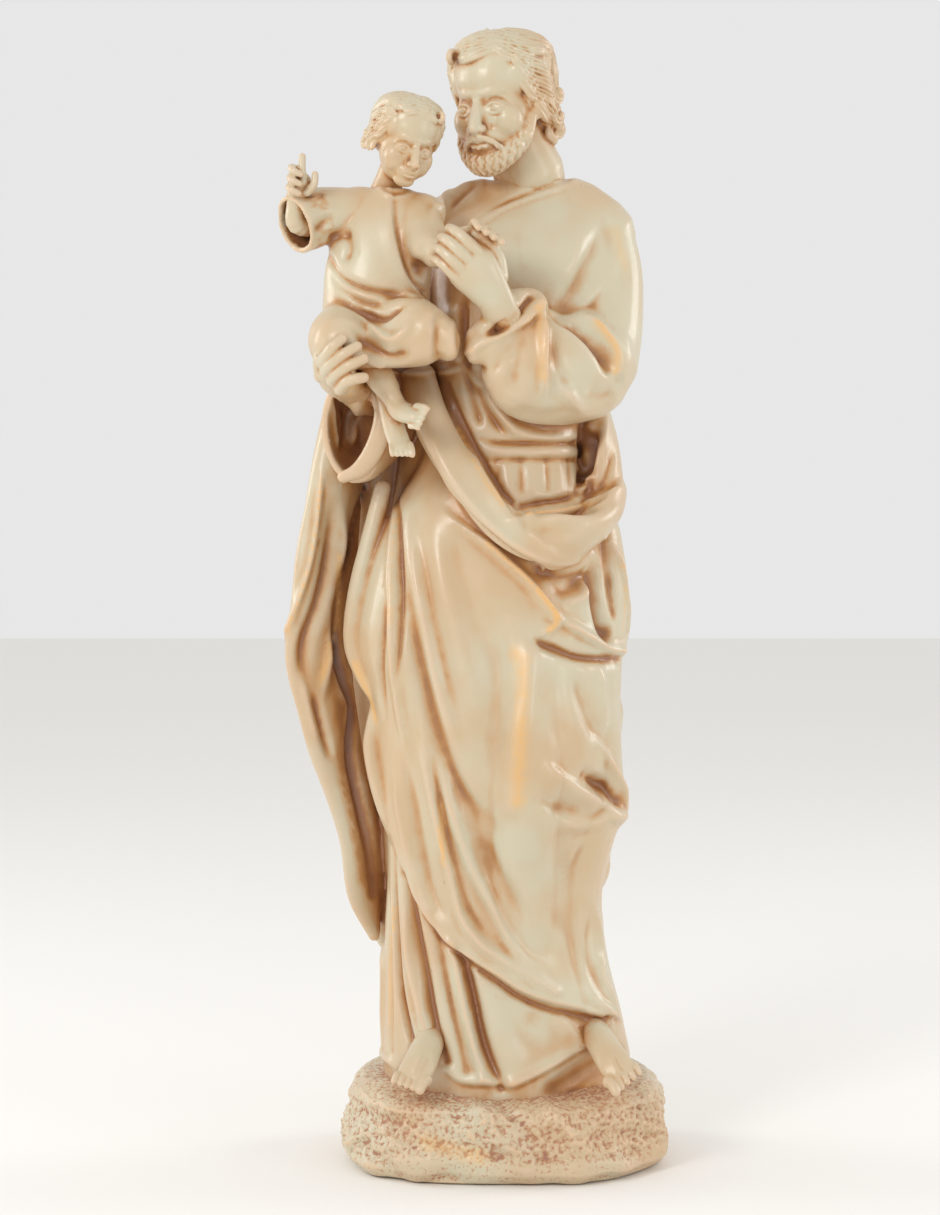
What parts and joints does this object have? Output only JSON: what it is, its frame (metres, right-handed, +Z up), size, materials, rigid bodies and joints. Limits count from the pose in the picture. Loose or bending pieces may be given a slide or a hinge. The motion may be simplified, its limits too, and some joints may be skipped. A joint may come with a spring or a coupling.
{
  "type": "religious statue",
  "caption": "Standing bearded man in a tunic and draped mantle who carries a small child on one arm, cast in one with a rough rock base.",
  "frame": {"origin": "middle of the flat underside of the rock base", "axes": "+Z up, the figures look along -Y, the child is on the -X side"},
  "size_m": [0.3489, 0.2734, 1.0167],
  "materials": {
    "patinated_resin": "ivory cast resin with a tan wash in the folds, pale rubbed ridges and a semi-gloss clear coat"
  },
  "bodies": {
    "root": {"statue": "patinated_resin"}
  },
  "joints": []
}
